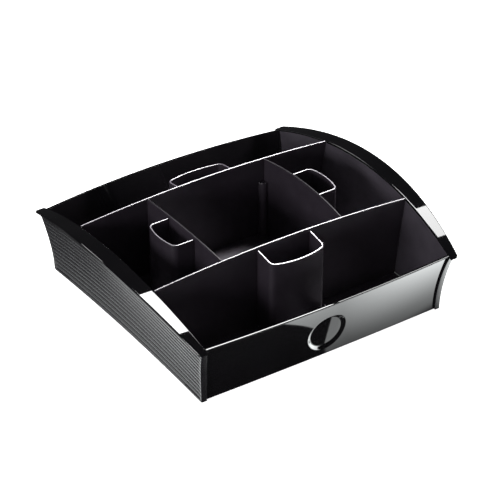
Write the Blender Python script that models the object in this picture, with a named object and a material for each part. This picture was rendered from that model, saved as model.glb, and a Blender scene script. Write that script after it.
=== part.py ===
"""Desk organizer: a domed tray of seven compartments and four pockets, built from its separate pieces.

Millimetres in the functions, metres in the scene. X runs left to right, -Y is the front, Z is up.
The organizer rests on z = 0, centred on the origin.
"""

import math

import bmesh
import bpy
import numpy as np

MM = 0.001
GAP = 0.3

# Outline
HALF_DEPTH = 149.0  # floor-level face of the front and rear panels
HALF_WIDTH = 150.0  # floor-level half-width between the returns of the cheeks
FOOT = 1.0  # the feet lift the body by this much
FLARE_POWER = 1.9
END_FLARE = 13.1  # how far the front and rear panels lean out at the top
SIDE_FLARE = 7.2
PANEL_TOP = 75.2
PANEL_ARCH = 2.7
PANEL_BULGE = (1.8, 7.2)  # plan bulge of the panels at the floor and at the rim
PANEL_WALL = 2.4
BEAD = (0.9, 2.4)  # how far the rim bead stands out, and its height

# Sides
SIDE_PEAK = 107.2
SIDE_DROP = 0.00117  # the arch drops by this times the square of the distance from its peak
PEAK_Y = 2.5
RAIL = 2.4
RAIL_END = 166.2
REAR_STEP = 3.7  # how much further from the middle the rear end is than the front
RAIL_OVERHANG = 4.6
CHEEK_END = 2.4  # the cheeks stand this far beyond the panels
CHEEK_WALL = 2.6
RETURN = 4.5
CHEEK_ROUND = 1.0  # radius of the upright outer corners of the cheeks
RIBS = 13
RIB_DEPTH = 0.8

# Inside
FLOOR = (4.0, 6.7)
WALL_FOOT = 153.0
DIVIDER = 2.0
ROW_Y = {-1: -73.0, 1: 78.0}
ROW_TOP = 108.4
ROW_DROP = 0.000283
CROSS_X = 77.7
CROSS_TOP = (105.6, 111.6)
CROSS_BULGE = 2.6
POCKET_WALL = 2.0
POCKET_CORNER = 8.0
POST_RADIUS = 7.5
POST_TOP = 78.0
RIB_X = 34.4
RIB_TOP = 25.0
FOOT_RADIUS = 8.0

# Round dish in the front panel
DISH_Z = 32.4
DISH_RADIUS = 24.3
DISH_FLAT = 20.2
DISH_DEPTH = 2.0


def clear_scene():
    for obj in list(bpy.data.objects):
        bpy.data.objects.remove(obj)


def collection(name):
    made = bpy.data.collections.new(name)
    bpy.context.scene.collection.children.link(made)
    return made


def plastic(name, colour, roughness):
    material = bpy.data.materials.new(name)
    material.use_nodes = True
    shader = material.node_tree.nodes["Principled BSDF"]
    shader.inputs["Base Color"].default_value = (*colour, 1.0)
    shader.inputs["Roughness"].default_value = roughness
    return material


# ---- curves that the pieces share -----------------------------------------------------------------


def rise(z):
    """0 at the floor and 1 at the height of the panels' corners, easing out as the walls flare."""
    return (np.maximum(z - FOOT, 0.0) / (PANEL_TOP - FOOT)) ** FLARE_POWER


def end_face(z):
    """Distance from the middle to the outside of the front or rear panel at its corners."""
    return HALF_DEPTH + END_FLARE * rise(z)


def panel_face(u, z):
    """The same at a place across the panel, u running from -1 to 1."""
    low, high = PANEL_BULGE
    bulge = low + (high - low) * np.maximum(z - FOOT, 0.0) / (PANEL_TOP - FOOT)
    return end_face(z) + bulge * (1 - u**2)


def reach(y):
    """Stretches the rear half, so that the rear end stands REAR_STEP further out."""
    return y + REAR_STEP * np.maximum(y, 0.0) / HALF_DEPTH


def side_top(y):
    return SIDE_PEAK - SIDE_DROP * (y - PEAK_Y) ** 2


def rail_inner(y):
    return 165.4 - 0.00031 * y**2


def rail_outer(y):
    return 185.8 - 0.00063 * y**2 + 0.009 * y


def cheek_lift(y):
    """Bottom edge of the cheeks: it touches the floor line at the ends and arches up between."""
    return FOOT + 3.4 * np.maximum(1 - (y / 148.0) ** 2, 0.0)


def cheek_face(y, h):
    """Outside of the cheeks at a fraction h of their height; it tucks in under the edge of the rail."""
    foot = 156.6 - 0.9 * np.maximum(1 - (y / 148.0) ** 2, 0.0)
    return foot + (rail_outer(y) - RAIL_OVERHANG - foot) * h**1.67


def wall_face(y, z):
    """Inside of the side walls."""
    base = FLOOR[1] + GAP
    h = np.clip((z - base) / (side_top(y) - RAIL - GAP - base), 0.0, 1.0)
    return WALL_FOOT + (rail_inner(y) - WALL_FOOT) * h**1.25


def row_top(x):
    return ROW_TOP - ROW_DROP * x**2


def cross_swell(y):
    """0 at the ends of the cross dividers and 1 in the middle."""
    half = (ROW_Y[1] - ROW_Y[-1]) / 2
    return 1 - ((y - PEAK_Y) / half) ** 2


# ---- meshes -------------------------------------------------------------------------------------


def make_object(name, bm, material, group, anchor):
    bmesh.ops.recalc_face_normals(bm, faces=bm.faces[:])
    bmesh.ops.translate(bm, verts=bm.verts[:], vec=[-c for c in anchor])
    bmesh.ops.scale(bm, verts=bm.verts[:], vec=(MM, MM, MM))
    mesh = bpy.data.meshes.new(name)
    bm.to_mesh(mesh)
    bm.free()
    obj = bpy.data.objects.new(name, mesh)
    obj.location = [c * MM for c in anchor]
    if material:
        mesh.materials.append(material)
    group.objects.link(obj)
    return obj


def slab(name, near, far, material, group, anchor=(0, 0, 0)):
    """A closed wall between two grids of points, each rows x columns x 3."""
    rows, cols = near.shape[:2]
    bm = bmesh.new()
    a = [[bm.verts.new(p) for p in row] for row in near]
    b = [[bm.verts.new(p) for p in row] for row in far]
    for i in range(rows - 1):
        for j in range(cols - 1):
            bm.faces.new((a[i][j], a[i][j + 1], a[i + 1][j + 1], a[i + 1][j]))
            bm.faces.new((b[i + 1][j], b[i + 1][j + 1], b[i][j + 1], b[i][j]))
    ring = [(0, j) for j in range(cols)] + [(i, cols - 1) for i in range(1, rows)]
    ring += [(rows - 1, j) for j in range(cols - 2, -1, -1)] + [(i, 0) for i in range(rows - 2, 0, -1)]
    for (i, j), (k, m) in zip(ring, ring[1:] + ring[:1]):
        bm.faces.new((a[i][j], b[i][j], b[k][m], a[k][m]))
    return make_object(name, bm, material, group, anchor)


def rings(name, loops, material, group, anchor=(0, 0, 0)):
    """A closed skin through loops of equal length, capped by the first and the last."""
    bm = bmesh.new()
    made = [[bm.verts.new(p) for p in loop] for loop in loops]
    for first, second in zip(made, made[1:]):
        for j in range(len(first)):
            k = (j + 1) % len(first)
            bm.faces.new((first[j], first[k], second[k], second[j]))
    bm.faces.new(made[0])
    bm.faces.new(made[-1])
    return make_object(name, bm, material, group, anchor)


def prism(name, outline, low, high, material, group, anchor=(0, 0, 0)):
    loops = [[(x, y, z) for x, y in outline] for z in (low, high)]
    return rings(name, loops, material, group, anchor)


def box(name, x, y, z, material, group):
    outline = [(x[0], y[0]), (x[1], y[0]), (x[1], y[1]), (x[0], y[1])]
    return prism(name, outline, z[0], z[1], material, group)


def boolean(obj, other, operation):
    modifier = obj.modifiers.new(operation.title() + "_" + other.name, "BOOLEAN")
    modifier.operation = operation
    modifier.solver = "EXACT"
    modifier.object = other
    other.hide_render = True
    other.display_type = "WIRE"


def points(x, y, z):
    return np.stack(np.broadcast_arrays(x, y, z), axis=-1)


# ---- pieces --------------------------------------------------------------------------------------


def make_floor(paint, group, cutters):
    floor = box("floor_plate", (-152.6, 152.6), (-146.0, 146.0 + REAR_STEP), FLOOR, paint["matte"], group)
    for k, (x, y) in enumerate(tab_boxes(0.4)):
        boolean(floor, box(f"slot_{k}", x, y, (FLOOR[0] - 2, FLOOR[1] + 2), None, cutters), "DIFFERENCE")
    return floor


def tab_boxes(grow):
    """Plan of the tabs under the four dividers."""
    half = DIVIDER / 2 + grow
    plans = []
    for y in ROW_Y.values():
        plans += [((x - 12 - grow, x + 12 + grow), (y - half, y + half)) for x in (-112, 112)]
    for side in (-1, 1):
        for y in (-38, 43):
            x = side * (CROSS_X + CROSS_BULGE * cross_swell(y))
            plans.append(((x - half, x + half), (y - 4 - grow, y + 4 + grow)))
    return plans


def make_panel(name, side, paint, group):
    bead_out, bead_height = BEAD
    u = np.linspace(-1, 1, 17)[None, :]
    down = np.array([0.0, 0.5, 1.2, 1.9, bead_height, 3.0])[:, None]
    stand = np.array([-0.5, 0.7, 1.0, 0.7, 0.0, 0.0])[:, None] * bead_out
    low = np.linspace(0, 1, 11)[:, None]
    top = PANEL_TOP + PANEL_ARCH * (1 - u**2)
    z = np.concatenate([FOOT + low * (top - 3.0 - FOOT), (top - down)[-2::-1]])
    out = np.concatenate([0 * low, stand[-2::-1]]) + 0 * u
    x = u * (HALF_WIDTH - GAP + SIDE_FLARE * rise(z))
    y = side * (panel_face(u, z) + out)
    back = side * (panel_face(u, z) - PANEL_WALL + np.maximum(-out, 0))
    shift = (0, side * HALF_DEPTH, 0)
    if side > 0:
        y, back = y + REAR_STEP, back + REAR_STEP
    return slab(name, points(x, y, z), points(x, back, z), paint["gloss"], group, shift)


def dish_loop(radius, depth, count=48):
    """A circle in the front face, pushed in by a depth; depth None keeps it on the curved face."""
    loop = []
    for k in range(count):
        turn = math.tau * k / count
        x, z = radius * math.cos(turn), DISH_Z + radius * math.sin(turn)
        lean = panel_face(0.0, DISH_Z) + 0.21 * (z - DISH_Z)
        face = panel_face(x / HALF_WIDTH, z) - 0.3 if depth is None else lean - depth
        loop.append((x, -float(face), z))
    return loop


def make_dish(paint, group, cutters, panel):
    reach = [(x, y, z) for x, y, z in dish_loop(DISH_RADIUS + GAP, 0)]
    hole = [[(x, y - 12, z) for x, y, z in reach], [(x, y + 12, z) for x, y, z in reach]]
    boolean(panel, rings("dish_hole", hole, None, cutters), "DIFFERENCE")
    front = dish_loop(DISH_RADIUS, None)
    loops = [
        dish_loop(DISH_FLAT, DISH_DEPTH),
        [(x * 0.93, y + 0.4, DISH_Z + (z - DISH_Z) * 0.93) for x, y, z in front],
        front,
        [(x, y + 2.2, z) for x, y, z in front],
        dish_loop(DISH_FLAT + 1.2, DISH_DEPTH + 1.6),
    ]
    return rings("finger_dish", loops, paint["gloss"], group, (0, -HALF_DEPTH, DISH_Z))


def make_cheek(name, side, paint, group):
    band = np.linspace(0.06, 0.95, 2 * RIBS + 1)
    h = np.concatenate([[0.0, 0.03], band, [0.975, 1.0]])
    groove = np.concatenate([[0.0, 0.0], np.where(np.arange(len(band)) % 2, 0.0, RIB_DEPTH), [0.0, 0.0]])
    groove[2] = groove[-3] = 0.4
    columns = cheek_columns(h)
    face, back = [], []
    for i, height in enumerate(h):
        y, inset, corner = columns[i]
        low = cheek_lift(y)
        z = low + height * (side_top(y) - RAIL - GAP - low)
        x = cheek_face(y, height) - groove[i] - corner
        inner = np.maximum(wall_face(y, z) + 1.9 + GAP, cheek_face(y, height) - CHEEK_WALL)
        inner = np.minimum(inner, x - 0.7)
        inner = np.where(inset, HALF_WIDTH + SIDE_FLARE * rise(z), inner)
        face.append(points(side * x, y, z))
        back.append(points(side * inner, y, z))
    anchor = (side * HALF_WIDTH, 0, 0)
    return slab(name, np.array(face), np.array(back), paint["satin"], group, anchor)


def cheek_columns(heights):
    """For each height: the y of the columns, which belong to an end return, and how far the corner is cut."""
    fractions = np.linspace(-1, 1, 13)
    back = np.array([RETURN, 0.5 * CHEEK_ROUND + 0.3, 0.15 * CHEEK_ROUND, 0.0])
    cut = CHEEK_ROUND * np.array([0.0, 0.1, 0.5, 1.0])
    inset = np.array([True] * 4 + [False] * 13 + [True] * 4)
    corner = np.concatenate([cut[::-1], 0 * fractions, cut])
    columns = []
    for height in heights:
        end = end_face(FOOT + height * (PANEL_TOP - RAIL - GAP - FOOT)) + CHEEK_END
        y = np.concatenate([back[::-1] - end, (end - RETURN - GAP) * fractions, end - back])
        columns.append((reach(y), inset, corner))
    return columns


def make_rail(name, side, paint, group):
    across = np.array([0.0, 0.04, 0.5, 0.8, 0.91, 0.97, 1.0])[:, None]
    along = np.linspace(-1, 1, 21)[None, :]
    y = reach(along * (RAIL_END - 2.4 * np.maximum(across / 0.2 - 4, 0.0) ** 2))
    x = rail_inner(y) + across * (rail_outer(y) - rail_inner(y))
    edge = np.array([0.7, 0.0, 0.0, 0.0, 0.05, 0.6, 1.6])[:, None]
    top = side_top(y) - edge
    low = side_top(y) - RAIL + 0 * edge
    return slab(name, points(side * x, y, top), points(side * x, y, low), paint["gloss"], group)


def make_side_wall(name, side, paint, group):
    h = np.linspace(0, 1, 10)
    near, far = [], []
    for height in h:
        corner = FLOOR[1] + GAP + height * (PANEL_TOP - RAIL - GAP - FLOOR[1] - GAP)
        y = reach(np.linspace(-1, 1, 17) * (end_face(corner) - PANEL_WALL - 2 * GAP))
        z = FLOOR[1] + GAP + height * (side_top(y) - RAIL - 2 * GAP - FLOOR[1])
        x = wall_face(y, z)
        near.append(points(side * x, y, z))
        far.append(points(side * (x + 1.1 + 0.7 * height), y, z))
    anchor = (side * WALL_FOOT, 0, 0)
    return slab(name, np.array(near), np.array(far), paint["matte"], group, anchor)


def add_tabs(divider, tabs, cutters):
    for k, (x, y) in enumerate(tabs):
        tab = box(f"tab_{divider.name}_{k}", x, y, (FLOOR[0] + 0.4, FLOOR[1] + 4), None, cutters)
        boolean(divider, tab, "UNION")


def make_row_divider(name, side, paint, group, cutters):
    u = np.linspace(-1, 1, 21)[None, :]
    v = np.linspace(0, 1, 7)[:, None]
    y = ROW_Y[side]
    low = FLOOR[1] + GAP
    z = low + v * (row_top(u * 163.6) - low)
    x = u * (wall_face(y, z) - GAP)
    faces = [points(x, y + s * DIVIDER / 2, z) for s in (-1, 1)]
    divider = slab(name, *faces, paint["matte"], group, (0, y, 0))
    add_tabs(divider, tab_boxes(0)[0:2] if side < 0 else tab_boxes(0)[2:4], cutters)
    return divider


def make_cross_divider(name, side, paint, group, cutters):
    edge = DIVIDER / 2 + GAP
    y = np.linspace(ROW_Y[-1] + edge, ROW_Y[1] - edge, 15)[None, :]
    v = np.linspace(0, 1, 3)[:, None]
    low = FLOOR[1] + GAP
    top = CROSS_TOP[0] + (CROSS_TOP[1] - CROSS_TOP[0]) * cross_swell(y)
    z = low + v * (top - low)
    x = side * (CROSS_X + CROSS_BULGE * cross_swell(y))
    faces = [points(x + s * DIVIDER / 2, y, z) for s in (-1, 1)]
    divider = slab(name, *faces, paint["matte"], group, (side * CROSS_X, PEAK_Y, 0))
    add_tabs(divider, tab_boxes(0)[4:6] if side < 0 else tab_boxes(0)[6:8], cutters)
    return divider


def pocket_outline(half, reach, inset=0.0, back=0.0):
    """D-shaped plan as (across, outward) points: straight sides, round corners and a bowed front."""
    half, reach, radius = half - inset, reach - inset, POCKET_CORNER - inset
    turn = math.radians(75)
    across = half - radius * (1 - math.cos(turn))
    bow = across / (2 * math.tan(turn))
    centre = reach - bow - radius * math.sin(turn)
    arc = [turn * k / 5 for k in range(6)]
    right = [(half, back)]
    right += [(half - radius + radius * math.cos(t), centre + radius * math.sin(t)) for t in arc]
    right += [(across * k, reach - bow * k**2) for k in (0.67, 0.33)]
    return right + [(0.0, reach)] + [(-x, y) for x, y in reversed(right)]


def make_pocket(name, turn, start, centre, sizes, rim, paint, group, cutters):
    """turn maps the plan's (across, outward) to (x, y); rim is its height at the divider and its fall."""
    height, fall = rim
    low = FLOOR[1] + GAP
    outline = pocket_outline(*sizes)
    outer = [turn(centre + a, start + b) for a, b in outline]
    loops = [[(x, y, low) for x, y in outer]]
    loops.append([(x, y, height - fall * b) for (x, y), (_, b) in zip(outer, outline)])
    pocket = rings(name, loops, paint["matte"], group)
    inner = [turn(centre + a, start + b) for a, b in pocket_outline(*sizes, POCKET_WALL, -5.0)]
    void = prism("void_" + name, inner, low + POCKET_WALL, height + 5, None, cutters)
    boolean(pocket, void, "DIFFERENCE")
    return pocket


def make_post(name, x, y, paint, group):
    """A quarter-round column whose square corner points at the corner of the compartment."""
    sx, sy = math.copysign(1, x), math.copysign(1, y)
    arc = [math.pi / 2 * k / 6 for k in range(7)]
    outline = [(x, y)] + [
        (x - sx * POST_RADIUS * math.cos(a), y - sy * POST_RADIUS * math.sin(a)) for a in arc
    ]
    return prism(name, outline, FLOOR[1] + GAP, POST_TOP, paint["matte"], group, (x, y, 0))


def make_foot(name, x, y, paint, group):
    loops = []
    for radius, z in ((7.2, 0.0), (FOOT_RADIUS, 0.8), (FOOT_RADIUS, FLOOR[0] - GAP)):
        turns = [math.tau * k / 24 for k in range(24)]
        loops.append([(x + radius * math.cos(t), y + radius * math.sin(t), z) for t in turns])
    return rings(name, loops, paint["rubber"], group, (x, y, 0))


def make_low_rib(name, side, paint, group):
    z = np.array([FLOOR[1] + GAP, 13.0, 19.0, RIB_TOP])[:, None]
    end = panel_face(RIB_X / HALF_WIDTH, z) - PANEL_WALL - GAP
    y = np.concatenate([-104.0 + 0 * end, -end], axis=1)
    faces = [points(side * (RIB_X + s * 0.8), y, z) for s in (-1, 1)]
    return slab(name, *faces, paint["matte"], group)


def build():
    clear_scene()
    paint = {
        "gloss": plastic("gloss_black", (0.012, 0.012, 0.013), 0.08),
        "satin": plastic("ribbed_black", (0.03, 0.03, 0.032), 0.3),
        "matte": plastic("inner_black", (0.014, 0.013, 0.015), 0.5),
        "rubber": plastic("rubber_black", (0.02, 0.02, 0.02), 0.8),
    }
    group = collection("desk_organizer")
    cutters = collection("cutters")

    make_floor(paint, group, cutters)
    panel = make_panel("front_panel", -1, paint, group)
    make_dish(paint, group, cutters, panel)
    make_panel("rear_panel", 1, paint, group)
    for word, side in (("left", -1), ("right", 1)):
        make_cheek(word + "_cheek", side, paint, group)
        make_rail(word + "_top_rail", side, paint, group)
        make_side_wall(word + "_side_wall", side, paint, group)
        make_cross_divider(word + "_cross_divider", side, paint, group, cutters)
        make_low_rib(word + "_low_rib", side, paint, group)
    make_row_divider("front_row_divider", -1, paint, group, cutters)
    make_row_divider("rear_row_divider", 1, paint, group, cutters)

    near = DIVIDER / 2 + GAP
    beside = CROSS_X + CROSS_BULGE + near + 0.1
    pockets = (
        ("front_pocket", lambda a, b: (a, -b), near - ROW_Y[-1], 0.3, (35.0, 32.4), (104.7, 0.17)),
        ("rear_pocket", lambda a, b: (a, b), near + ROW_Y[1], -2.0, (36.2, 25.9), (106.9, 0.15)),
        ("left_pocket", lambda a, b: (-b, a), beside, 3.0, (26.4, 29.5), (108.0, 0.0)),
        ("right_pocket", lambda a, b: (b, a), beside, 3.0, (26.4, 29.5), (108.0, 0.0)),
    )
    for name, turn, start, centre, sizes, rim in pockets:
        make_pocket(name, turn, start, centre, sizes, rim, paint, group, cutters)

    corner_x = CROSS_X - near
    corners = [(sx * corner_x, ROW_Y[sy] - sy * near) for sy in (-1, 1) for sx in (-1, 1)]
    for k, (x, y) in enumerate(corners, 1):
        make_post(f"corner_post_{k}", x, y, paint, group)
    for k, (sx, sy) in enumerate(((-1, -1), (1, -1), (-1, 1), (1, 1)), 1):
        make_foot(f"foot_{k}", sx * 136.0, sy * 130.0, paint, group)


build()
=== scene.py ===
"""Desk organizer in moulded black plastic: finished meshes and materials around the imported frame.

Lengths are millimetres until a mesh is made. X runs left to right, -Y is the front, Z is up.
A side is -1 for left or front and 1 for right or rear.
"""

import math

import bmesh
import bpy
import numpy as np
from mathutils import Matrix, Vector


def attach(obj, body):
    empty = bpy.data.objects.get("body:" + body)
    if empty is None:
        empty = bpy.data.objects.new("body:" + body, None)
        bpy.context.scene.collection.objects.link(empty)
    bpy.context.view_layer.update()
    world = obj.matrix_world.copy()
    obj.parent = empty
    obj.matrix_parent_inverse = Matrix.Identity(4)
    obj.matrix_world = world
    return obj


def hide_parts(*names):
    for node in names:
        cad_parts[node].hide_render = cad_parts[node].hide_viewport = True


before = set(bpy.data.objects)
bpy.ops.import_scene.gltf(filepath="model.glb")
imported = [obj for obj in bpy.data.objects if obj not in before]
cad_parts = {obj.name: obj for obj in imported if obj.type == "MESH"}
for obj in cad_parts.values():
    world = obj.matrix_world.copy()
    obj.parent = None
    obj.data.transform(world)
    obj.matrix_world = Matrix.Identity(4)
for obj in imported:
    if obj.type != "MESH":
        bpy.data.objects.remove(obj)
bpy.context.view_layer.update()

MM = 0.001
GAP = 0.3  # air between neighbouring pieces

# Front and rear panels
HALF_DEPTH = 149.0  # middle to the front face, at its foot
HALF_WIDTH = 150.0  # half of a panel's width, at its foot
FOOT = 1.0  # height of the panels' lower edge
FLARE_POWER = 1.9
END_FLARE = 13.1  # how far the ends lean out from foot to top
SIDE_FLARE = 7.2  # the same for the panels' sides
PANEL_TOP = 75.2
PANEL_ARCH = 2.7  # how much higher the top is in the middle
PANEL_BULGE = (1.8, 7.2)  # at the foot and at the top
PANEL_WALL = 2.4
REAR_STEP = 3.7  # how much further out the rear end is than the front
BEAD_OUT, BEAD_HEIGHT = 0.9, 1.6
BEAD_START = 0.15  # how far below the top edge the bead begins
BEAD_GROOVE = 0.9
BEAD_ZONE = 3.0  # height of the strip that holds bead and groove

# Sides
SIDE_PEAK = 107.2  # top of the rails, and where it is
PEAK_Y = 2.5
SIDE_DROP = 0.00117
RAIL = 2.4
RAIL_END = 166.2
RAIL_CORNER = 2.4  # how far the rounding takes the outer corners back
RAIL_WIDE = 20.0
RAIL_OVERHANG = 4.6
INNER_ROLL, OUTER_ROLL = 1.3, 1.7
CHEEK_HALF = 148.0
CHEEK_END = 2.4
CHEEK_WALL = 2.6
CHEEK_ROUND = 0.9
LEAST_WALL = 0.6  # what the deepest groove leaves of the cheek
RETURN = 4.5  # length of the cheek's ends, which reach in to the panels
RIBS = 13
RIB_DEEP = 1.5
RIB_FADE = 3.0  # the ribs run out over this length at each end
SIDE_WALL = (1.1, 1.8)  # thickness at the floor and under the rail

# Inside
FLOOR = (4.0, 6.7)
INSIDE_FOOT = FLOOR[1] + GAP
PLATE_HALF = (152.6, 146.0)
WALL_FOOT = 153.0
DIVIDER = 2.0
ROW_Y = {-1: -73.0, 1: 78.0}
ROW_HALF = 163.6
ROW_TOP = 108.4
ROW_DROP = 0.000283
CROSS_X = 77.7
CROSS_TOP = (105.6, 111.6)  # at its ends and in its middle
CROSS_BULGE = 2.6
EDGE_ROUND = 0.85  # on the rims of dividers and pockets
POCKET_WALL = 2.0
POCKET_CORNER = 8.0
POST_RADIUS = 7.5
POST_TOP = 78.0
RIB_X = 34.4
RIB_TOP = 25.0
RIB_START = 104.0  # where a low rib leaves the front pocket
RIB_HALF = 0.8
FOOT_X, FOOT_Y = 136.0, 130.0

# Round dish in the front panel
DISH_Z = 32.4
DISH_RADIUS = 24.3
DISH_FLAT = 20.2
DISH_DEPTH = 2.0
DISH_LEAN = 0.21
DISH_PLAY = 0.15
DISH_DOME, DISH_TURN, DISH_TWIST = 0.0006, 0.008, 0.000245


# ---- curves that the pieces share -----------------------------------------------------------------


def rise(z):
    """How far out the hollow curve has come at a height: 0 at the foot, 1 at the top."""
    return (np.maximum(z - FOOT, 0.0) / (PANEL_TOP - FOOT)) ** FLARE_POWER


def end_face(z):
    return HALF_DEPTH + END_FLARE * rise(z)


def panel_face(u, z):
    low, high = PANEL_BULGE
    bulge = low + (high - low) * np.maximum(z - FOOT, 0.0) / (PANEL_TOP - FOOT)
    return end_face(z) + bulge * (1 - u**2)


def reach(y):
    """Stretches the rear half, so that the rear end stands REAR_STEP further out."""
    return y + REAR_STEP * np.maximum(y, 0.0) / HALF_DEPTH


def side_top(y):
    return SIDE_PEAK - SIDE_DROP * (y - PEAK_Y) ** 2


def rail_inner(y):
    return 165.4 - 0.00031 * y**2


def rail_outer(y):
    return 185.8 - 0.00063 * y**2 + 0.009 * y


def cheek_swell(y):
    return np.maximum(1 - (y / CHEEK_HALF) ** 2, 0.0)


def cheek_lift(y):
    return FOOT + 3.4 * cheek_swell(y)


def cheek_face(y, h):
    foot = 156.6 - 0.9 * cheek_swell(y)
    return foot + (rail_outer(y) - RAIL_OVERHANG - foot) * h**1.67


def wall_face(y, z):
    span = side_top(y) - RAIL - GAP - INSIDE_FOOT
    h = np.clip((z - INSIDE_FOOT) / span, 0.0, 1.0)
    return WALL_FOOT + (rail_inner(y) - WALL_FOOT) * h**1.25


def row_top(x):
    return ROW_TOP - ROW_DROP * x**2


def cross_swell(y):
    half = (ROW_Y[1] - ROW_Y[-1]) / 2
    return 1 - ((y - PEAK_Y) / half) ** 2


def points(x, y, z):
    return np.stack(np.broadcast_arrays(x, y, z), axis=-1)


# ---- materials ------------------------------------------------------------------------------------


class Nodes:
    """A material's node tree, built in a line or two per node."""

    def __init__(self, name):
        self.material = bpy.data.materials.new(name)
        self.material.use_nodes = True
        self.tree = self.material.node_tree
        self.shader = self.tree.nodes["Principled BSDF"]
        self.place = self.add("ShaderNodeTexCoord").outputs["Object"]

    def add(self, kind, **values):
        node = self.tree.nodes.new(kind)
        for key, value in values.items():
            if key in node.inputs:
                node.inputs[key].default_value = value
            else:
                setattr(node, key, value)
        return node

    def link(self, source, target):
        self.tree.links.new(source, target)

    def noise(self, scale, detail=2.0, rough=0.5):
        node = self.add("ShaderNodeTexNoise", Scale=scale, Detail=detail, Roughness=rough)
        self.link(self.place, node.inputs["Vector"])
        return node.outputs["Fac"]

    def spread(self, value, low, high):
        """Spreads the middle of a noise over a range."""
        node = self.add("ShaderNodeMapRange")
        for key, number in zip(("From Min", "From Max", "To Min", "To Max"), (0.3, 0.7, low, high)):
            node.inputs[key].default_value = number
        self.link(value, node.inputs["Value"])
        return node.outputs["Result"]

    def tint(self, noise, dark, light):
        """Base colour, mottled between two shades."""
        node = self.add("ShaderNodeMix", data_type="RGBA")
        colours = [s for s in node.inputs if s.type == "RGBA"]
        colours[0].default_value = (*dark, 1)
        colours[1].default_value = (*light, 1)
        self.link(self.spread(noise, 0.0, 1.0), node.inputs["Factor"])
        self.link([s for s in node.outputs if s.type == "RGBA"][0], self.shader.inputs["Base Color"])

    def gloss(self, noise, low, high):
        """Roughness, wandering between two values."""
        self.link(self.spread(noise, low, high), self.shader.inputs["Roughness"])

    def grain(self, noise, strength):
        node = self.add("ShaderNodeBump", Strength=strength, Distance=0.0002)
        self.link(noise, node.inputs["Height"])
        self.link(node.outputs["Normal"], self.shader.inputs["Normal"])


def gloss_plastic():
    """Polished black plastic, with faint wiped marks in its gloss."""
    n = Nodes("polished_black")
    n.tint(n.noise(14.0, 3.0), (0.0016, 0.0015, 0.0019), (0.0028, 0.0026, 0.0031))
    n.gloss(n.noise(30.0, 4.0, 0.6), 0.016, 0.03)
    return n.material


def satin_plastic():
    """The ribbed sides: satin, mottled a little."""
    n = Nodes("ribbed_satin_black")
    n.tint(n.noise(60.0, 4.0), (0.004, 0.0038, 0.0046), (0.007, 0.0066, 0.0078))
    n.gloss(n.noise(90.0, 4.0, 0.6), 0.15, 0.19)
    return n.material


def grained_plastic(name, dark, light, smooth, rough):
    """Inside surfaces: fine spark-eroded grain, matte, with the faintest violet cast."""
    n = Nodes(name)
    n.tint(n.noise(35.0, 4.0), dark, light)
    n.gloss(n.noise(120.0, 4.0, 0.6), smooth, rough)
    n.grain(n.noise(900.0, 3.0, 0.6), 0.22)
    return n.material


def rubber():
    n = Nodes("foot_rubber")
    n.tint(n.noise(200.0, 3.0), (0.012, 0.012, 0.012), (0.022, 0.022, 0.021))
    n.gloss(n.noise(300.0, 3.0), 0.7, 0.85)
    n.grain(n.noise(1800.0, 2.0), 0.3)
    return n.material


FINISH = {
    "gloss_black": gloss_plastic(),
    "ribbed_black": satin_plastic(),
    "inner_black": grained_plastic(
        "grained_inner_black", (0.0085, 0.0064, 0.0095), (0.0125, 0.0098, 0.0138), 0.34, 0.42
    ),
    "rubber_black": rubber(),
}
# The side walls have the same grain with a lighter base colour: painted light, standing in for the light
# from the left that brightens their inner faces.
SIDE_GRAIN_PAINTED_LIGHT = grained_plastic(
    "grained_side_black", (0.017, 0.0145, 0.019), (0.025, 0.0215, 0.0275), 0.36, 0.44
)


# ---- meshes ---------------------------------------------------------------------------------------

PIECES = []


def solid(name, bm):
    """An object in the scene from a mesh drawn in millimetres."""
    bmesh.ops.recalc_face_normals(bm, faces=bm.faces[:])
    bmesh.ops.scale(bm, verts=bm.verts[:], vec=(MM, MM, MM))
    mesh = bpy.data.meshes.new(name)
    bm.to_mesh(mesh)
    bm.free()
    obj = bpy.data.objects.new(name, mesh)
    bpy.context.scene.collection.objects.link(obj)
    return obj


def piece(name, bm, slot, round_edges=0.0, segments=3, crease=35.0):
    """Gives the solid its finish and rounded edges, and puts it in its CAD node's place."""
    obj = solid(name, bm)
    mesh = obj.data
    mesh.materials.append(FINISH[slot])
    mesh.shade_smooth()
    if round_edges:
        bevel = obj.modifiers.new("rounded_edges", "BEVEL")
        bevel.width = round_edges * MM
        bevel.segments = segments
        bevel.limit_method = "ANGLE"
        bevel.angle_limit = math.radians(crease)
        bevel.harden_normals = True
        bevel.use_clamp_overlap = True
    else:
        mesh.set_sharp_from_angle(angle=math.radians(crease))
    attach(obj, "root")
    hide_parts(name)
    PIECES.append(obj)
    return obj


def slab(near, far):
    """A closed wall between two grids of points, each rows x columns x 3."""
    rows, cols = near.shape[:2]
    bm = bmesh.new()
    a = [[bm.verts.new(p) for p in row] for row in near]
    b = [[bm.verts.new(p) for p in row] for row in far]
    for i in range(rows - 1):
        for j in range(cols - 1):
            bm.faces.new((a[i][j], a[i][j + 1], a[i + 1][j + 1], a[i + 1][j]))
            bm.faces.new((b[i + 1][j], b[i + 1][j + 1], b[i][j + 1], b[i][j]))
    ring = [(0, j) for j in range(cols)] + [(i, cols - 1) for i in range(1, rows)]
    ring += [(rows - 1, j) for j in range(cols - 2, -1, -1)] + [(i, 0) for i in range(rows - 2, 0, -1)]
    for (i, j), (k, m) in zip(ring, ring[1:] + ring[:1]):
        bm.faces.new((a[i][j], b[i][j], b[k][m], a[k][m]))
    return bm


def rings(loops):
    """A skin through loops of equal length, capped at both ends."""
    bm = bmesh.new()
    made = [[bm.verts.new(p) for p in loop] for loop in loops]
    for first, second in zip(made, made[1:]):
        for j in range(len(first)):
            k = (j + 1) % len(first)
            bm.faces.new((first[j], first[k], second[k], second[j]))
    bm.faces.new(made[0])
    bm.faces.new(made[-1])
    return bm


# ---- pieces ---------------------------------------------------------------------------------------


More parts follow.
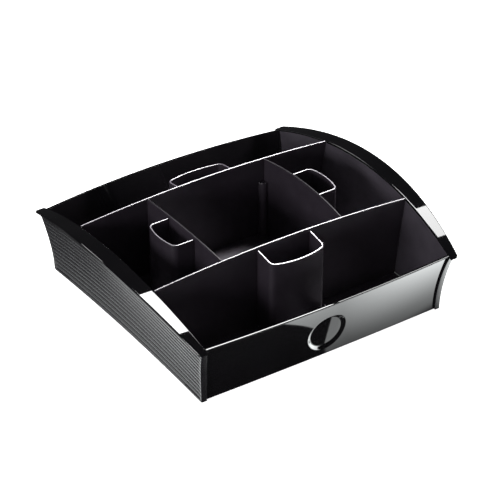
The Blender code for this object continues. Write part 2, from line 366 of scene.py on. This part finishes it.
def make_floor():
    half_x, half_y = PLATE_HALF
    x = np.linspace(-half_x, half_x, 31)[None, :]
    y = np.linspace(-half_y, half_y + REAR_STEP, 31)[:, None]
    top, under = points(x, y, FLOOR[1]), points(x, y, FLOOR[0])
    piece("floor_plate", slab(top, under), "inner_black", round_edges=0.5)


def bead_profile():
    """Rows from the top edge down: how far below it each is, and how far it stands out."""
    turn = np.linspace(0, math.pi, 9)
    bead = BEAD_START + BEAD_HEIGHT / 2 * (1 - np.cos(turn))
    groove = bead[-1] + np.array([0.1, 0.2, 0.9, 1.1])
    down = np.concatenate([[0.0], bead, groove])
    stand = np.concatenate([[-0.5 * BEAD_OUT], BEAD_OUT * np.sin(turn) ** 0.8, 0 * groove])
    stand[-3:-1] = -BEAD_GROOVE
    return down[:, None], stand[:, None]


def make_panel(name, side):
    u = np.linspace(-1, 1, 121)[None, :]
    down, stand = bead_profile()
    low = np.linspace(0, 1, 41)[:, None]
    top = PANEL_TOP + PANEL_ARCH * (1 - u**2)
    z = np.concatenate([FOOT + low * (top - BEAD_ZONE - FOOT), (top - down)[::-1]])
    out = np.concatenate([0 * low, stand[::-1]])
    x = u * (HALF_WIDTH - GAP + SIDE_FLARE * rise(z))
    step = REAR_STEP if side > 0 else 0.0
    face = side * (panel_face(u, z) + out) + step
    back = side * (panel_face(u, z) - PANEL_WALL) + step
    return piece(name, slab(points(x, face, z), points(x, back, z)), "gloss_black", round_edges=0.6)


def dish_circle(radius):
    turn = math.tau * np.arange(96) / 96
    return radius * np.cos(turn), DISH_Z + radius * np.sin(turn)


def dish_rim():
    """The dish's outer ring, lying on the panel's face."""
    x, z = dish_circle(DISH_RADIUS)
    return points(x, -panel_face(x / HALF_WIDTH, z), z)


def dish_ring(radius, depth):
    """A ring on the leaning plane of the dish, set back by a depth."""
    x, z = dish_circle(radius)
    return points(x, depth - panel_face(0.0, DISH_Z) - DISH_LEAN * (z - DISH_Z), z)


def bowed(radius):
    """A ring of the round face, which is very slightly domed and turned, so reflections end across it."""
    ring = dish_ring(radius, DISH_DEPTH)
    x, high = ring[:, 0], ring[:, 2] - DISH_Z
    ring[:, 1] += DISH_DOME * x**2 - DISH_TURN * x - DISH_TWIST * x * high
    return ring


def cut_dish_hole(panel):
    ring = dish_ring(DISH_RADIUS + DISH_PLAY, 0.0)
    cutter = solid("dish_hole", rings([ring - [0, 12, 0], ring + [0, 12, 0]]))
    modifier = panel.modifiers.new("dish_hole", "BOOLEAN")
    modifier.operation, modifier.solver, modifier.object = "DIFFERENCE", "EXACT", cutter
    panel.modifiers.move(len(panel.modifiers) - 1, 0)
    bpy.context.view_layer.objects.active = panel
    with bpy.context.temp_override(object=panel, active_object=panel, selected_objects=[panel]):
        bpy.ops.object.modifier_apply(modifier="dish_hole")
    bpy.data.objects.remove(cutter)


def make_dish():
    front = dish_rim()
    flat = bowed(DISH_FLAT)
    middle = flat.mean(axis=0)
    loops = [bowed(DISH_FLAT * k) for k in (0.1, 0.25, 0.4, 0.55, 0.7, 0.85, 0.95)]
    for t in np.linspace(0, 1, 17):
        ease = float(np.interp(t, (0, 0.12, 0.88, 1), (0, 0.05, 0.95, 1)))
        loops.append(flat * [1 - t, 1 - ease, 1 - t] + front * [t, ease, t])
    loops.append(front * [1.001, 1, 1.001] + [0, 0.3, -0.001 * DISH_Z])
    loops.append(front + [0, 2.2, 0])
    loops.append(middle + (flat - middle) * 1.05 + [0, 1.6, 0])
    piece("finger_dish", rings(loops), "gloss_black", crease=50)


def rib_profile(steps=10):
    """Fractions of the cheek's height and how deep the ribbing is there."""
    t = np.linspace(0, RIBS, RIBS * steps + 1)
    groove = RIB_DEEP * (1 - np.abs(np.sin(math.pi * t)) ** 0.5)
    h = 0.045 + 0.915 * t / RIBS
    low = np.array([0.0, 0.015, 0.03])
    high = np.array([0.97, 0.985, 1.0])
    return np.concatenate([low, h, high]), np.concatenate([0 * low, groove, 0 * high])


def make_cheek(name, side):
    """Ribbed shell with a return at each end, which reaches in to the panel."""
    h, groove = rib_profile()
    inner_y = np.linspace(-1, 1, 91)
    turn = np.linspace(0, math.pi / 2, 6)
    back = np.concatenate([[RETURN], CHEEK_ROUND * (1 - np.sin(turn))])
    cut = np.concatenate([[0.0], CHEEK_ROUND * (1 - np.cos(turn))])
    corner = np.concatenate([cut[::-1], 0 * inner_y, cut])
    inset = np.array([True] * len(back) + [False] * len(inner_y) + [True] * len(back))
    face, rear = [], []
    for height, depth in zip(h, groove):
        end = end_face(FOOT + height * (PANEL_TOP - RAIL - GAP - FOOT)) + CHEEK_END
        y = np.concatenate([back[::-1] - end, (end - RETURN - GAP) * inner_y, end - back])
        fade = np.clip((end - np.abs(y) - CHEEK_ROUND) / RIB_FADE, 0.0, 1.0)
        y = reach(y)
        low = cheek_lift(y)
        z = low + height * (side_top(y) - RAIL - GAP - low)
        full = cheek_face(y, height) - corner
        x = full - depth * fade
        clear = wall_face(y, z) + SIDE_WALL[1] + 0.1 + GAP
        inner = np.maximum(clear, cheek_face(y, height) - CHEEK_WALL)
        inner = np.minimum(inner, full - RIB_DEEP - LEAST_WALL)
        inner = np.where(inset, HALF_WIDTH + SIDE_FLARE * rise(z), inner)
        face.append(points(side * x, y, z))
        rear.append(points(side * inner, y, z))
    return piece(name, slab(np.array(face), np.array(rear)), "ribbed_black", crease=50)


def make_rail(name, side):
    """Arched cap with a rolled outer lip and rounded outer corners."""
    turn = np.linspace(math.pi / 2, 0, 6)
    along = np.linspace(-1, 1, 141)
    across = [(0.0, INNER_ROLL * (1 - math.sin(t)), INNER_ROLL * (1 - math.cos(t))) for t in turn]
    across += [(share, 0.0, 0.0) for share in np.linspace(0.1, 0.9, 9)]
    across += [(1.0, -OUTER_ROLL * (1 - math.cos(t)), OUTER_ROLL * (1 - math.sin(t))) for t in turn]
    top, low = [], []
    for share, shift, drop in across:
        outward = max((share + shift / RAIL_WIDE - 0.8) / 0.2, 0.0)
        y = reach(along * (RAIL_END - RAIL_CORNER * outward**2))
        x = rail_inner(y) + share * (rail_outer(y) - rail_inner(y)) + shift
        top.append(points(side * x, y, side_top(y) - drop))
        low.append(points(side * x, y, side_top(y) - RAIL))
    bm = slab(np.array(top), np.array(low))
    return piece(name, bm, "gloss_black", round_edges=0.3, crease=50)


def make_side_wall(name, side):
    thin, thick = SIDE_WALL
    near, far = [], []
    for height in np.linspace(0, 1, 31):
        corner = INSIDE_FOOT + height * (PANEL_TOP - RAIL - GAP - INSIDE_FOOT)
        y = reach(np.linspace(-1, 1, 81) * (end_face(corner) - PANEL_WALL - 2 * GAP))
        z = INSIDE_FOOT + height * (side_top(y) - RAIL - GAP - INSIDE_FOOT)
        x = wall_face(y, z)
        near.append(points(side * x, y, z))
        far.append(points(side * (x + thin + (thick - thin) * height), y, z))
    wall = piece(name, slab(np.array(near), np.array(far)), "inner_black", round_edges=0.3)
    # Lighter copy of the inner material: painted light on the side walls.
    wall.data.materials[0] = SIDE_GRAIN_PAINTED_LIGHT
    return wall


def make_row_divider(name, side):
    u = np.linspace(-1, 1, 121)[None, :]
    v = np.linspace(0, 1, 25)[:, None]
    y = ROW_Y[side]
    z = INSIDE_FOOT + v * (row_top(u * ROW_HALF) - INSIDE_FOOT)
    x = u * (wall_face(y, z) - GAP)
    near, far = (points(x, y + s * DIVIDER / 2, z) for s in (-1, 1))
    return piece(name, slab(near, far), "inner_black", round_edges=EDGE_ROUND, segments=4)


def make_cross_divider(name, side):
    edge = DIVIDER / 2 + GAP
    y = np.linspace(ROW_Y[-1] + edge, ROW_Y[1] - edge, 61)[None, :]
    v = np.linspace(0, 1, 17)[:, None]
    low, high = CROSS_TOP
    z = INSIDE_FOOT + v * (low + (high - low) * cross_swell(y) - INSIDE_FOOT)
    x = side * (CROSS_X + CROSS_BULGE * cross_swell(y))
    near, far = (points(x + s * DIVIDER / 2, y, z) for s in (-1, 1))
    return piece(name, slab(near, far), "inner_black", round_edges=EDGE_ROUND, segments=4)


def pocket_line(half, depth, inset):
    """The pocket's plan from one end at the divider round to the other, as (across, outward)."""
    half, depth, radius = half - inset, depth - inset, POCKET_CORNER - inset
    turn = math.radians(75)
    across = half - radius * (1 - math.cos(turn))
    bow = across / (2 * math.tan(turn))
    centre = depth - bow - radius * math.sin(turn)
    right = [(half, centre * k / 6) for k in range(6)]
    arc = [turn * k / 14 for k in range(15)]
    right += [(half - radius + radius * math.cos(t), centre + radius * math.sin(t)) for t in arc]
    right += [(across * k / 12, depth - bow * (k / 12) ** 2) for k in range(11, 0, -1)]
    return np.array(right + [(0.0, depth)] + [(-x, y) for x, y in reversed(right)])


def make_pocket(name, turn, start, centre, sizes, rim):
    """A U of even wall with a floor; rim is its height at the divider and its fall outward."""
    height, fall = rim

    def plan(inset):
        return [turn(centre + a, start + b) for a, b in pocket_line(*sizes, inset)]

    share = np.concatenate([[0.0, 0.01], np.linspace(0.02, 1.0, 26)])[:, None]
    grids = []
    for inset in (0.0, POCKET_WALL):
        x, y = np.array(plan(inset)).T
        top = height - fall * pocket_line(*sizes, inset)[:, 1]
        grids.append(points(x, y, INSIDE_FOOT + share * (top - INSIDE_FOOT)))
    bm = slab(*grids)
    base = plan(POCKET_WALL - 0.2)
    levels = (INSIDE_FOOT, INSIDE_FOOT + POCKET_WALL)
    floor = rings([[(x, y, z) for x, y in base] for z in levels])
    mesh = bpy.data.meshes.new("pocket_floor")
    floor.to_mesh(mesh)
    floor.free()
    bm.from_mesh(mesh)
    bpy.data.meshes.remove(mesh)
    return piece(name, bm, "inner_black", round_edges=EDGE_ROUND, segments=4)


def make_post(name, x, y):
    """Quarter-round post whose square corner stands at (x, y)."""
    sx, sy = math.copysign(POST_RADIUS, x), math.copysign(POST_RADIUS, y)
    arc = [math.pi / 2 * k / 16 for k in range(17)]
    outline = [(x, y)] + [(x - sx * math.cos(a), y - sy * math.sin(a)) for a in arc]
    loops = [[(a, b, z) for a, b in outline] for z in np.linspace(INSIDE_FOOT, POST_TOP, 12)]
    return piece(name, rings(loops), "inner_black", round_edges=0.7, crease=50)


def make_foot(name, x, y):
    profile = [(3.0, 0.0), (6.4, 0.0), (7.0, 0.12), (7.5, 0.5), (8.0, 1.1)]
    profile += [(8.0, 3.4), (7.8, 3.7), (3.0, 3.7)]
    turns = [math.tau * k / 64 for k in range(64)]
    loops = [[(x + r * math.cos(t), y + r * math.sin(t), z) for t in turns] for r, z in profile]
    return piece(name, rings(loops), "rubber_black", crease=50)


def make_low_rib(name, side):
    """Low rib from the front pocket to the front panel."""
    z = np.linspace(INSIDE_FOOT, RIB_TOP, 12)[:, None]
    end = panel_face(RIB_X / HALF_WIDTH, z) - PANEL_WALL - GAP
    t = np.linspace(0, 1, 13)[None, :]
    y = -RIB_START - t * (end - RIB_START)
    near, far = (points(side * (RIB_X + s * RIB_HALF), y, z) for s in (-1, 1))
    return piece(name, slab(near, far), "inner_black", round_edges=0.6)


def make_pockets():
    """One on each outer side of the centre compartment, with its back against the divider."""
    near = DIVIDER / 2 + GAP
    beside = CROSS_X + CROSS_BULGE + near + 0.1
    pockets = (
        ("front_pocket", lambda a, b: (a, -b), near - ROW_Y[-1], 0.3, (35.0, 32.4), (104.7, 0.17)),
        ("rear_pocket", lambda a, b: (a, b), near + ROW_Y[1], -2.0, (36.2, 25.9), (106.9, 0.15)),
        ("left_pocket", lambda a, b: (-b, a), beside, 3.0, (26.4, 29.5), (108.0, 0.0)),
        ("right_pocket", lambda a, b: (b, a), beside, 3.0, (26.4, 29.5), (108.0, 0.0)),
    )
    for name, turn, start, centre, sizes, rim in pockets:
        make_pocket(name, turn, start, centre, sizes, rim)


def build():
    make_floor()
    cut_dish_hole(make_panel("front_panel", -1))
    make_dish()
    make_panel("rear_panel", 1)
    for word, side in (("left", -1), ("right", 1)):
        make_cheek(word + "_cheek", side)
        make_rail(word + "_top_rail", side)
        make_side_wall(word + "_side_wall", side)
        make_cross_divider(word + "_cross_divider", side)
        make_low_rib(word + "_low_rib", side)
    make_row_divider("front_row_divider", -1)
    make_row_divider("rear_row_divider", 1)
    make_pockets()
    corners = [(sx, sy) for sy in (-1, 1) for sx in (-1, 1)]
    near = DIVIDER / 2 + GAP
    for k, (sx, sy) in enumerate(corners, 1):
        make_post(f"corner_post_{k}", sx * (CROSS_X - near), ROW_Y[sy] - sy * near)
    for k, (sx, sy) in enumerate(corners, 1):
        make_foot(f"foot_{k}", sx * FOOT_X, sy * FOOT_Y)


# ---- studio ---------------------------------------------------------------------------------------

VIEW_AZIMUTH = -0.5926
VIEW_ELEVATION = 0.5782
VIEW_TARGET = Vector((0.01394, 0.01167, 0.041))
VIEW_DISTANCE = 2.6445
KEY_HEIGHT = 1.2
KEY_TURN = math.radians(-12)
RIM_PIECES = ("row_divider", "_pocket", "_low_rib", "_plate", "corner_post")


def make_world():
    """White to the camera; for reflections, a large source on the right and a low one on the left."""
    world = bpy.data.worlds.new("studio")
    bpy.context.scene.world = world
    world.use_nodes = True
    tree = world.node_tree
    tree.nodes.clear()

    def node(kind, *sources, **values):
        made = tree.nodes.new(kind)
        for key, value in values.items():
            setattr(made, key, value)
        for socket, source in zip(made.inputs, sources):
            if isinstance(source, bpy.types.NodeSocket):
                tree.links.new(source, socket)
            elif source is not None:
                socket.default_value = source
        return made

    def math_of(operation, *sources):
        return node("ShaderNodeMath", *sources, operation=operation).outputs[0]

    def product(first, *others):
        for other in others:
            first = math_of("MULTIPLY", first, other)
        return first

    def ramp(value, start, end, low, high):
        made = node("ShaderNodeMapRange", value, start, end, low, high, interpolation_type="SMOOTHSTEP")
        return made.outputs[0]

    direction = node("ShaderNodeTexCoord").outputs["Generated"]
    x, y, z = node("ShaderNodeSeparateXYZ", direction).outputs
    below = ramp(z, 0.0, 0.12, 1.0, 0.0)

    # The right source has a sharp edge, which curves away further down, and fades towards the rear.
    under = math_of("MAXIMUM", math_of("SUBTRACT", -0.70, z), 0.0)
    edge = math_of("MULTIPLY_ADD", math_of("POWER", under, 5.0), -170.0, 0.481)
    beyond_edge = ramp(math_of("SUBTRACT", x, edge), -0.001, 0.001, 0.0, 1.0)
    across = math_of("MAXIMUM", math_of("MULTIPLY_ADD", x, 8.2, -3.68), 0.4)
    depth = product(ramp(z, -0.92, -0.64, 6.2, 2.2), ramp(z, -0.66, -0.55, 1.0, 0.0))
    far_side = product(ramp(z, -0.75, -0.2, 1.0, 14.0), ramp(x, 0.62, 0.72, 0.0, 1.0))
    level = math_of("ADD", product(depth, across), far_side)
    right = product(beyond_edge, level, ramp(y, 0.15, 0.45, 1.0, 0.03), below)

    # The left source lights the ribbed side: one part deep down, one just under the horizon.
    low = product(ramp(y, 0.61, 0.75, 2.9, 0.1), ramp(x, -0.1, 0.2, 1.0, 0.05))
    low = product(low, ramp(z, -0.55, -0.45, 1.0, 0.0))
    flank = product(ramp(z, -0.5, -0.35, 0.0, 1.0), ramp(x, -0.45, -0.25, 1.0, 0.0))
    flank = product(flank, ramp(y, 0.64, 0.77, 3.4, 0.3))
    left = product(math_of("ADD", low, flank), ramp(y, 0.2, 0.5, 0.0, 1.0), below)
    total = math_of("ADD", math_of("ADD", right, left), 0.03)

    path = node("ShaderNodeLightPath").outputs
    mirror = node("ShaderNodeBackground", (0.97, 1.0, 1.0, 1), total)
    soft = node("ShaderNodeBackground", (1, 1, 1, 1), 0.6)
    seen = node("ShaderNodeBackground", (1, 1, 1, 1), 1.0)
    first = node("ShaderNodeMixShader", path["Is Glossy Ray"], soft.outputs[0], mirror.outputs[0])
    second = node("ShaderNodeMixShader", path["Is Camera Ray"], first.outputs[0], seen.outputs[0])
    node("ShaderNodeOutputWorld", second.outputs[0])


def floor_material():
    """Pale from above, and clear from beneath, so that the underside can be looked at."""
    material = bpy.data.materials.new("pale_floor")
    material.use_nodes = True
    nodes, links = material.node_tree.nodes, material.node_tree.links
    shader = nodes["Principled BSDF"]
    shader.inputs["Base Color"].default_value = (0.8, 0.8, 0.8, 1)
    shader.inputs["Roughness"].default_value = 1.0
    shader.inputs["Specular IOR Level"].default_value = 0.0
    shader.inputs["Emission Color"].default_value = (1, 1, 1, 1)
    shader.inputs["Emission Strength"].default_value = 0.8
    clear = nodes.new("ShaderNodeBsdfTransparent")
    side = nodes.new("ShaderNodeNewGeometry")
    mix = nodes.new("ShaderNodeMixShader")
    links.new(side.outputs["Backfacing"], mix.inputs["Fac"])
    links.new(shader.outputs["BSDF"], mix.inputs[1])
    links.new(clear.outputs["BSDF"], mix.inputs[2])
    links.new(mix.outputs["Shader"], nodes["Material Output"].inputs["Surface"])
    return material


def make_ground(half=15.0):
    mesh = bpy.data.meshes.new("floor")
    corners = [(-half, -half, 0), (half, -half, 0), (half, half, 0), (-half, half, 0)]
    mesh.from_pydata(corners, [], [(0, 1, 2, 3)])
    mesh.materials.append(floor_material())
    ground = bpy.data.objects.new("floor", mesh)
    bpy.context.scene.collection.objects.link(ground)
    ground.visible_glossy = False


def softbox(name, place, size, power, aim=None):
    """Hangs level and turned by KEY_TURN, unless it is given a point to face."""
    light = bpy.data.lights.new(name, "AREA")
    light.shape = "RECTANGLE"
    light.size, light.size_y = size
    light.energy = power
    box = bpy.data.objects.new(name, light)
    box.location = place
    box.rotation_euler = (0, 0, KEY_TURN)
    if aim:
        box.rotation_euler = (Vector(aim) - Vector(place)).to_track_quat("-Z", "Y").to_euler()
    bpy.context.scene.collection.objects.link(box)
    return box


def make_lights():
    """The rim key lights only the standing inner pieces: on the glossy rails it would be too bright."""
    rims = bpy.data.collections.new("lit_rims")
    for obj in PIECES:
        if any(word in obj.name for word in RIM_PIECES):
            rims.objects.link(obj)
    rim_key = softbox("rim_key", (0.665, 0.335, KEY_HEIGHT), (0.54, 0.46), 290.0)
    rim_key.light_linking.receiver_collection = rims
    softbox("key_left", (0.455, 0.379, KEY_HEIGHT), (0.47, 0.46), 17.7)
    softbox("key_right", (0.975, 0.285, KEY_HEIGHT), (0.55, 0.31), 8.6)
    softbox("rear_fill", (-0.2, 1.3, 1.15), (0.7, 0.4), 5.0, aim=(0, 0, 0.05))
    softbox("left_fill", (-1.8, -0.35, 0.58), (0.9, 0.4), 45.0, aim=(0, 0, 0.08))


def make_camera():
    data = bpy.data.cameras.new("camera")
    data.sensor_width = 36.0
    data.lens = 170.8
    data.clip_end = 100.0
    camera = bpy.data.objects.new("camera", data)
    back = Vector((
        math.sin(VIEW_AZIMUTH) * math.cos(VIEW_ELEVATION),
        -math.cos(VIEW_AZIMUTH) * math.cos(VIEW_ELEVATION),
        math.sin(VIEW_ELEVATION),
    ))
    camera.location = VIEW_TARGET + back * VIEW_DISTANCE
    camera.rotation_euler = (math.pi / 2 - VIEW_ELEVATION, 0, VIEW_AZIMUTH)
    bpy.context.scene.collection.objects.link(camera)
    bpy.context.scene.camera = camera


build()
bpy.context.scene.view_settings.view_transform = "Standard"
make_world()
make_ground()
make_lights()
make_camera()
bpy.context.view_layer.update()
